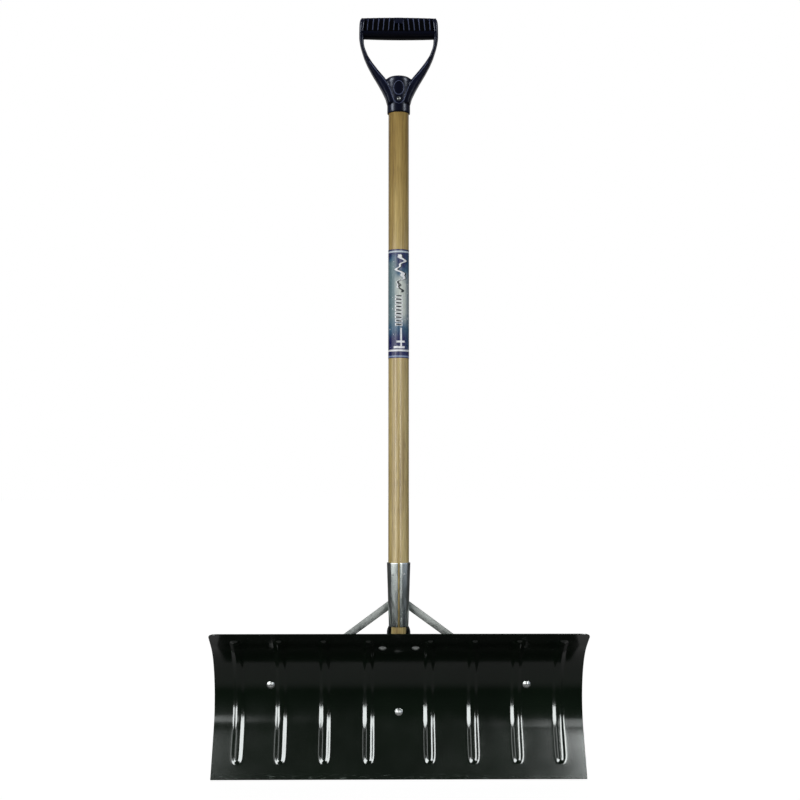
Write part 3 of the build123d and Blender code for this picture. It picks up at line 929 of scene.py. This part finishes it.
# %% Sleeve
def make_sleeve():
    radius = (label_high.x - label_low.x) / 2
    heights = [label_low.z + LABEL_HEIGHT * share for share in (0, 0.005, 0.5, 0.995, 1)]
    sleeve = turn("label_wrap", [(height, radius) for height in heights], HANDLE_AXIS, sides=120,
                  filled=False)
    edit(sleeve)
    lap = pick("VERT", lambda v: v.co.y > HANDLE_Y and 0 < v.co.x < LAP)
    grow = 1 + 0.8 * FILM / radius
    bpy.ops.transform.resize(value=(grow, grow, 1), center_override=(0, HANDLE_Y, 0))
    done_editing()
    apply_modifier(sleeve, "SOLIDIFY", thickness=FILM, offset=-1.0)
    print("lap points", lap)
    return sleeve


sleeve = make_sleeve()
hand_over(sleeve, LABEL_PRINT, "label_film", "label_sleeve")

# %% [markdown]
# ## Bars that follow a path
# The braces and the grip's arms are one section carried along a path. The section is a circle
# or a plane of size one, and each station of the path is a frame: a matrix that says how wide
# and how deep the section is there, and where. Extruding in place and then carrying the new end
# by the next frame keeps every ring square to the path.

# %% Carry a section along a path
def frame_at(centre, wide, deep):
    """A matrix from the unit section to one station; wide and deep are half-size vectors."""
    along = wide.cross(deep).normalized()
    turned = Matrix((wide, deep, along)).transposed().to_4x4()
    return Matrix.Translation(centre) @ turned


def carry(matrix):
    """Move the selected points by a matrix."""
    mesh = bpy.context.edit_object.data
    bm = bmesh.from_edit_mesh(mesh)
    for vertex in bm.verts:
        if vertex.select:
            vertex.co = matrix @ vertex.co
    bmesh.update_edit_mesh(mesh)


def follow(piece, frames):
    """Extrude the piece's one face through the frames; it starts as a unit section."""
    edit(piece)
    carry(frames[0])
    for last, coming in zip(frames, frames[1:]):
        extrude_by((0, 0, 0))
        carry(coming @ last.inverted())
    done_editing()
    tidy_normals(piece)


print("path tools ready")

# %% [markdown]
# ## The braces
# Each brace is a flat strip, a half inch wide, with a bolt end folded flat against the blade and
# a tab behind the ferrule. The strip is a plane carried through four stations. Its ends are then
# rounded with an edge bevel, the two folds get a bend of a few millimetres, and a small bevel
# breaks the sheared edges.

# %% Braces
STRIP = 12.7 * MM
STRIP_THICK = 3 * MM
BRACE_BOLT_X = 212 * MM
BRACE_BOLT_ANGLE = radians(13.2)
BRACE_SCREW_Z = 283 * MM
STRIP_RISE = radians(34.8)


def on_bend(angle, behind=0.0):
    """A point of the bend and the direction out of the blade's back, at an angle up from level."""
    out = Vector((0, cos(angle), sin(angle)))
    return BEND_CENTRE + out * (BEND_RADIUS + behind), out


def make_brace(name, node_name, side, layer):
    """One brace, to the left or right; the second one's tab lies behind the first's."""
    tab_y = HANDLE_Y + ferrule_radius(BRACE_SCREW_Z + 12 * MM) + STRIP_THICK * (layer + 0.5)
    down = Vector((side * cos(STRIP_RISE), 0, -sin(STRIP_RISE)))
    across = Vector((side * sin(STRIP_RISE), 0, cos(STRIP_RISE))) * (STRIP / 2)
    rear = Vector((0, STRIP_THICK / 2, 0))
    hub = Vector((0, tab_y, BRACE_SCREW_Z))
    foot, foot_out = on_bend(BRACE_BOLT_ANGLE, SHEET + STRIP_THICK / 2)
    foot_up = Vector((0, -foot_out.z, foot_out.y)) * (STRIP / 2)
    foot_rear = foot_out * (STRIP_THICK / 2)
    stations = [(hub - down * 9 * MM, across, rear),
                (hub + down * 14 * MM, across, rear),
                (foot + Vector((side * (BRACE_BOLT_X - 17 * MM), 0, 0)), foot_up, foot_rear),
                (foot + Vector((side * (BRACE_BOLT_X + 10 * MM), 0, 0)), foot_up, foot_rear)]
    clean_slate()
    bpy.ops.mesh.primitive_plane_add(size=2)
    strip = settle(name)
    follow(strip, [frame_at(*station) for station in stations])
    edit(strip)
    ends = (stations[0][0], stations[3][0])
    pick("EDGE", lambda e: abs(e.calc_length() - STRIP_THICK) < NEAR
         and min((middle(e) - end).length for end in ends) < STRIP / 2 + NEAR)
    bpy.ops.mesh.bevel(offset=4.5 * MM, segments=5, affect="EDGES")
    folds = (stations[1][0], stations[2][0])
    pick("EDGE", lambda e: abs(e.calc_length() - STRIP) < 0.5 * MM
         and min((middle(e) - fold).length for fold in folds) < STRIP_THICK)
    bpy.ops.mesh.bevel(offset=3 * MM, segments=4, affect="EDGES")
    done_editing()
    break_edges(strip, 0.4 * MM, 2, 50)
    hand_over(strip, STRIP_ZINC, "galvanised", node_name)


make_brace("strip_left", "brace_left", -1, 0)
make_brace("strip_right", "brace_right", 1, 1)

# %% [markdown]
# ## The D-grip
# The grip is one moulding: a crossbar with open pockets between thin fins, two arms that grow
# thicker downwards, and a hub that takes the handle's end. The soft, flowing half of it is made
# of three overlapping solids, two arms and a turned hub, which a voxel remesh melts into one
# skin. The crossbar keeps its crisp fins, so it isn't remeshed and joins the arms at the end.
# The arm's stations give its centre, half width and half depth, and the hub's give heights and
# radii, all in millimetres.

# %% Arms and hub
GRIP_ARM = ((60.0, 1275.4, 2.8, 4.5), (61.2, 1272.6, 5.0, 9.8), (62.2, 1267.0, 5.3, 13.0),
            (63.0, 1259.0, 4.9, 14.3), (63.6, 1249.5, 4.4, 14.3), (64.0, 1240.5, 4.0, 12.6),
            (63.0, 1231.0, 3.5, 12.0), (61.0, 1222.5, 3.3, 11.5), (56.0, 1208.5, 3.9, 11.5),
            (49.4, 1196.0, 5.1, 12.0), (40.4, 1182.0, 6.5, 12.8), (30.0, 1167.5, 8.0, 14.0),
            (22.3, 1154.0, 8.0, 15.5), (16.0, 1140.0, 7.6, 17.0), (12.0, 1126.0, 7.6, 17.5))
HUB = ((1109.5, 19.0), (1110.3, 19.65), (1126.0, 19.65), (1140.0, 20.6), (1154.0, 22.6),
       (1164.0, 23.4), (1169.0, 22.4), (1172.3, 18.0), (1174.8, 10.0), (1175.8, 3.0))
SOCKET_R = SHAFT_R + 0.05 * MM
SOCKET_FOOT = 1100 * MM
VOXEL = 0.9 * MM


def arm_frames(side):
    """Frames down one arm; each is square to the line between its neighbours."""
    points = [Vector((side * x * MM, HANDLE_Y, z * MM)) for x, z, wide, deep in GRIP_ARM]
    frames = []
    for index, (x, z, wide, deep) in enumerate(GRIP_ARM):
        before = points[max(index - 1, 0)]
        after = points[min(index + 1, len(points) - 1)]
        along = (after - before).normalized()
        across = along.cross(Vector((0, 1, 0))).normalized()
        frames.append(frame_at(points[index], across * wide * MM, Vector((0, deep * MM, 0))))
    return frames


def square_up(power):
    """Push a unit circle's points towards a square, to flatten an arm's faces."""
    mesh = bpy.context.edit_object.data
    bm = bmesh.from_edit_mesh(mesh)
    for vertex in bm.verts:
        for axis in (0, 1):
            place = vertex.co[axis]
            vertex.co[axis] = abs(place) ** power * (1 if place > 0 else -1)
    bmesh.update_edit_mesh(mesh)


def make_arm(name, side):
    clean_slate()
    bpy.ops.mesh.primitive_circle_add(vertices=32, radius=1, fill_type="NGON")
    arm = settle(name)
    edit(arm)
    square_up(0.72)
    done_editing()
    follow(arm, arm_frames(side))
    return arm


def join(main, *others):
    """Join other pieces into the main one."""
    take(main)
    for other in others:
        other.select_set(True)
    bpy.ops.object.join()


def make_hub():
    hub = turn("grip_handle", [(z * MM, r * MM) for z, r in HUB], HANDLE_AXIS, sides=64)
    join(hub, make_arm("arm_left", -1), make_arm("arm_right", 1))
    apply_modifier(hub, "REMESH", mode="VOXEL", voxel_size=VOXEL, use_smooth_shade=True)
    apply_modifier(hub, "SMOOTH", factor=0.5, iterations=8)
    return hub


grip = make_hub()
print("arms and hub", len(grip.data.polygons), "faces")


# %% [markdown]
# The collar is hollow, so the handle's round end goes up into it. A plain cylinder is taken away
# from the melted skin with an exact boolean, because that edge has to stay crisp.

# %% Socket for the handle
def bore(piece, radius, low, high):
    """Cut a round bore up the handle's axis."""
    cutter = turn("cutter", [(low, radius), (high, radius)], HANDLE_AXIS, sides=96)
    apply_modifier(piece, "BOOLEAN", object=cutter, operation="DIFFERENCE", solver="EXACT")
    bpy.data.objects.remove(cutter)


bore(grip, SOCKET_R, SOCKET_FOOT, shaft_high.z + 0.5 * MM)
print("socket bored,", len(grip.data.polygons), "faces")

# %% [markdown]
# The crossbar starts as a rounded plate section pulled across the hand opening. Cuts mark each
# fin, then the faces between the fins are extruded and flattened onto one plane inside the bar.
# Last, the fins are leant inwards at the top and the whole bar is swelled in its middle, because
# the real one fits a gloved palm.

# %% Crossbar
grip_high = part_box("d_grip")[1]
BAR_HALF = 64 * MM
BAR_DEPTH = 30 * MM
BAR_LOW = 1240.3 * MM
BAR_CORNER = 13 * MM
FIN_HALF = 0.85 * MM
FINS_END = (FIN_COUNT + 1) / 2 * FIN_PITCH - FIN_HALF
SWELL = 0.07
POCKET_BACK = HANDLE_Y - 4 * MM
bar_height = grip_high.z - BAR_LOW
bar_middle = (grip_high.z + BAR_LOW) / 2


def in_pocket(face):
    place = middle(face)
    if place.y > POCKET_BACK or place.z < FIN_FLOOR or abs(face.normal.x) > 0.5:
        return False
    if abs(place.x) < PAD_HALF and place.z > PAD_LOW:
        return False
    from_fin = abs((place.x / FIN_PITCH + 0.5) % 1 - 0.5) * FIN_PITCH
    return from_fin > FIN_HALF and abs(place.x) < FINS_END


def fit_to_palm(point):
    """Lean the fins inwards at the top and swell the bar's middle."""
    share = point.x / BAR_HALF
    height = max(0.0, (point.z - FIN_FLOOR) / (grip_high.z - FIN_FLOOR))
    lean = FIN_LEAN * height * max(-1, min(1, point.x / FIN_PITCH)) * (1 - share ** 4)
    thin = 1 - SWELL * share ** 2
    return Vector((point.x - lean, point.y, bar_middle + (point.z - bar_middle) * thin))


def make_bar():
    """The crossbar, from one end's rounded section to its fins."""
    start = (-BAR_HALF, HANDLE_Y, bar_middle)
    clean_slate()
    bpy.ops.mesh.primitive_plane_add(size=1, rotation=(0, pi / 2, 0), location=start)
    bar = settle("crossbar")
    edit(bar)
    bpy.ops.transform.resize(value=(1, BAR_DEPTH, bar_height), center_override=start)
    bpy.ops.mesh.bevel(offset=BAR_CORNER, segments=7, affect="VERTICES")
    pick_all()
    extrude_by((2 * BAR_HALF, 0, 0))
    cut((0, POCKET_BACK, 0), (0, 1, 0))
    for height in (FIN_FLOOR, PAD_LOW):
        cut((0, 0, height), (0, 0, 1))
    fin_centres = [(number - (FIN_COUNT - 1) / 2) * FIN_PITCH for number in range(FIN_COUNT)]
    fin_sides = [centre + side * FIN_HALF for centre in fin_centres for side in (-1, 1)]
    for x in fin_sides + [-FINS_END, FINS_END, -PAD_HALF, PAD_HALF]:
        cut((x, 0, 0), (1, 0, 0))
    pick_all()
    bpy.ops.mesh.normals_make_consistent(inside=False)
    count = pick("FACE", in_pocket)
    extrude_by((0, 0, 0))
    bpy.ops.transform.resize(value=(1, 0, 1), center_override=(0, POCKET_BACK, 0))
    done_editing()
    tidy_normals(bar)
    for vertex in bar.data.vertices:
        vertex.co = fit_to_palm(vertex.co)
    break_edges(bar, 0.4 * MM, 2, 48)
    print("pockets from", count, "faces")
    return bar


bar = make_bar()
print("crossbar", len(bar.data.polygons), "faces")

# %% [markdown]
# Two raised beads run down the arms and meet in a V on the collar, and an oval rim marks the
# moulder's plain plaque. Both are laid on the skin: each point of the line is dropped onto the
# remeshed surface from the front, and a round curve through the points becomes a mesh.

# %% Raised beads
V_BEAD = 0.95 * MM
RIM_BEAD = 0.7 * MM
RIM_POINTS = 24


def drop(piece, x, z):
    """The point of the piece's front that lies at x, z."""
    hit, place = piece.ray_cast(Vector((x, HANDLE_Y - 60 * MM, z)), Vector((0, 1, 0)))[:2]
    return place if hit else Vector((x, HANDLE_Y - 20 * MM, z))


def bead(name, piece, line, radius, closed=False):
    """A round bead half sunk in the front of a piece."""
    bpy.context.view_layer.update()
    points = [drop(piece, x * MM, z * MM) for x, z in line]
    print(name, "lies", round(min(p.y for p in points) - HANDLE_Y, 4), "from the axis at most")
    curve = bpy.data.curves.new(name, "CURVE")
    curve.dimensions = "3D"
    curve.bevel_depth = radius
    curve.bevel_resolution = 3
    curve.use_fill_caps = True
    spline = curve.splines.new("NURBS")
    spline.points.add(len(points) - 1)
    for point, place in zip(spline.points, points):
        point.co = (*place, 1)
    spline.order_u = 3
    spline.use_endpoint_u = not closed
    spline.use_cyclic_u = closed
    spline.resolution_u = 8
    made = bpy.data.objects.new(name, curve)
    bpy.context.scene.collection.objects.link(made)
    take(made)
    bpy.ops.object.convert(target="MESH")
    return bpy.context.object


v_line = [(-x, z) for x, z in V_LINE[:-1]] + list(reversed(V_LINE))
wide, tall, plaque_z = PLAQUE
turns = [number * 2 * pi / RIM_POINTS for number in range(RIM_POINTS)]
oval = [(wide * cos(angle), plaque_z + tall * sin(angle)) for angle in turns]
beads = [bead("v_bead", grip, v_line, V_BEAD), bead("plaque_rim", grip, oval, RIM_BEAD, True)]
join(grip, bar, *beads)
hand_over(grip, GRIP_PLASTIC, "grip_plastic", "d_grip", crease=40)

# %% [markdown]
# ## Pieces kept from the frame
# The bracket's channel, the bolts, washers, nuts and screws already have their true shape, so
# they stay and only get their finish. The grip's screw is painted black like the bracket.

# %% Finish the kept pieces
KEPT = {"handle_bracket": BRACKET_ENAMEL, "grip_screw": BRACKET_ENAMEL}
for name in ("bracket_upper_bolts", "bracket_upper_washers", "bracket_upper_nuts",
             "bracket_lower_bolt", "bracket_lower_washer", "bracket_lower_nut", "brace_bolts",
             "brace_washers", "brace_nuts", "brace_screw", "brace_screw_washer",
             "bracket_handle_screw"):
    KEPT[name] = BRIGHT_ZINC
for name, material in KEPT.items():
    kept = frame["nodes"][name]
    kept.data.materials.clear()
    kept.data.materials.append(material)
print(len(KEPT), "pieces kept")

# %% [markdown]
# ## Studio
# Glossy black and bright zinc show the studio more than themselves, so the lights are placed by
# what they do in the metal, and each is tied by light linking to the pieces that it is meant for.
# Two big soft boxes stand in front of the blade, one each side of the camera: their edges draw
# the bright lines on the ribs. Three weak ones fill the hollow. Boxes left and right of the
# handle give the wood and the ferrule their light and dark bands, two narrow strips give the
# varnish its thin streaks, and two cool ones graze the grip. The room is white to the camera and
# dim to everything else, but for a glow from the rear that lights the edges.

# %% Soft boxes
AIM = Vector((0, 0, 0.15))
HANDLE_AIM = Vector((0, HANDLE_Y, 0.6))
GRIP_AIM = Vector((0, HANDLE_Y, 1.19))
BOX_DISTANCE = 3.0
WHITE = (1.0, 1.0, 1.0)
SEA_GREEN = (0.95, 1.0, 0.99)
COOL_BLUE = (0.80, 0.87, 1.0)


def light_group(name, *finishes):
    """A collection of the pieces that have one of the finishes, for lights to be tied to."""
    group = bpy.data.collections.new(name)
    for piece in bpy.data.objects:
        if piece.type == "MESH" and piece.data.materials and piece.data.materials[0] in finishes:
            group.objects.link(piece)
    return group


blade_pieces = light_group("blade_pieces", BLADE_ENAMEL, BRACKET_ENAMEL)
grip_pieces = light_group("grip_pieces", GRIP_PLASTIC)
ferrule_pieces = light_group("ferrule_pieces", FERRULE_ZINC)
bright_pieces = light_group("bright_pieces", FERRULE_ZINC, STRIP_ZINC, BRIGHT_ZINC, ASH,
                            LABEL_PRINT)
varnished_pieces = light_group("varnished_pieces", ASH, LABEL_PRINT)


def soft_box(name, lit, azimuth, elevation, width, height, radiance, aim=AIM, colour=WHITE):
    """A rectangular light facing the aim; azimuth is measured from the camera side to +X."""
    turn_angle, rise = radians(azimuth), radians(elevation)
    away = Vector((sin(turn_angle) * cos(rise), -cos(turn_angle) * cos(rise), sin(rise)))
    data = bpy.data.lights.new(name, "AREA")
    data.shape = "RECTANGLE"
    data.size = width
    data.size_y = height
    data.energy = radiance * pi * width * height
    data.color = colour
    light = bpy.data.objects.new(name, data)
    light.location = aim + away * BOX_DISTANCE
    light.rotation_euler = away.to_track_quat("Z", "Y").to_euler()
    light.visible_camera = False
    light.light_linking.receiver_collection = lit
    bpy.context.scene.collection.objects.link(light)


soft_box("key_left", blade_pieces, -40.5, 14, 1.90, 1.50, 20.0, colour=SEA_GREEN)
soft_box("key_right", blade_pieces, 40.5, 32, 1.60, 1.80, 20.0, colour=SEA_GREEN)
soft_box("key_high", blade_pieces, -32, 42, 1.0, 0.7, 4.0, colour=SEA_GREEN)
soft_box("low_left", blade_pieces, -19, 21, 0.6, 0.50, 5.0, colour=SEA_GREEN)
soft_box("low_right", blade_pieces, 20, 29, 0.6, 0.65, 4.0, colour=SEA_GREEN)
soft_box("grip_left", grip_pieces, -66, 25, 1.0, 1.6, 13.0, GRIP_AIM, COOL_BLUE)
soft_box("grip_right", grip_pieces, 62, 25, 0.8, 1.6, 11.0, GRIP_AIM, COOL_BLUE)
soft_box("handle_left", bright_pieces, -45.5, 2, 4.4, 3.0, 2.0, HANDLE_AIM)
soft_box("handle_right", bright_pieces, 24.5, 2, 1.1, 3.0, 2.4, HANDLE_AIM)
soft_box("handle_blue", bright_pieces, 65, 2, 3.4, 3.0, 0.65, HANDLE_AIM, COOL_BLUE)
soft_box("ferrule_left", ferrule_pieces, -45.5, 2, 4.4, 3.0, 1.5, HANDLE_AIM)
soft_box("streak_left", varnished_pieces, -36, 0, 0.22, 3.2, 9.0, HANDLE_AIM)
soft_box("streak_right", varnished_pieces, 15, 0, 0.14, 3.2, 12.0, HANDLE_AIM)
print("soft boxes lit")

# %% [markdown]
# The floor is a wide pale sheet. To the camera it glows nearly white, so that it meets the white
# room without a line. A mix by Light Path keeps that glow out of the black enamel: to the pieces
# only the floor close to the blade glows, and weakly, which gives the lower flat its sheen.

# %% Room and floor
SEEN_GLOW = (0.97, 0.97, 0.97)   # how bright the floor is to the camera


def make_room():
    world = bpy.data.worlds.new("room")
    bpy.context.scene.world = world
    world.use_nodes = True
    tree = world.node_tree
    tree.nodes.clear()
    seen = node(tree, "ShaderNodeBackground", Color=(1, 1, 1, 1), Strength=1.0)
    dim = node(tree, "ShaderNodeBackground", Strength=1.0)
    where = node(tree, "ShaderNodeTexCoord")
    x, y, z = parts_of(tree, where.outputs["Generated"])
    sky = ramp(tree, plus(times(z, 0.5), 0.5),
               [(0.40, 0.20), (0.50, 0.05), (0.62, 0.05), (0.85, 0.10)])
    rear = ramp(tree, plus(times(y, 0.5), 0.5), [(0.76, 0.0), (0.83, 0.22), (0.97, 0.45)])
    feed(dim.inputs["Color"], mix_colour(tree, 1.0, sky, rear, "ADD"))
    path = node(tree, "ShaderNodeLightPath")
    choose = node(tree, "ShaderNodeMixShader")
    feed(choose.inputs[0], path.outputs["Is Camera Ray"])
    feed(choose.inputs[1], dim.outputs["Background"])
    feed(choose.inputs[2], seen.outputs["Background"])
    output = node(tree, "ShaderNodeOutputWorld")
    feed(output.inputs["Surface"], choose.outputs["Shader"])


def make_floor():
    clean_slate()
    bpy.ops.mesh.primitive_circle_add(vertices=96, radius=30, fill_type="NGON",
                                      location=(0, 0, blade_low.z - 0.2 * MM))
    floor = settle("floor")
    material, tree, shader = new_material("pale_floor")
    path = node(tree, "ShaderNodeLightPath")
    where = coordinates(tree)
    speckle = ramp(tree, noise(tree, where, 3.0, detail=5), [(0.3, 0.26), (0.7, 0.30)])
    feed(shader.inputs["Base Color"], speckle)
    x, y, z = parts_of(tree, where)
    away = maths("MAXIMUM", minus(size_of(x), BLADE_WIDTH / 2), size_of(y))
    near = ramp(tree, away, [(0.13, 0.22), (0.22, 0.015)])
    glow = mix_colour(tree, path.outputs["Is Camera Ray"], near, SEEN_GLOW)
    feed(shader.inputs["Emission Strength"], glow)
    shader.inputs["Emission Color"].default_value = (1, 1, 1, 1)
    shader.inputs["Roughness"].default_value = 0.8
    shader.inputs["Specular IOR Level"].default_value = 0.1
    floor.data.materials.append(material)


make_room()
make_floor()
print("room and floor ready")
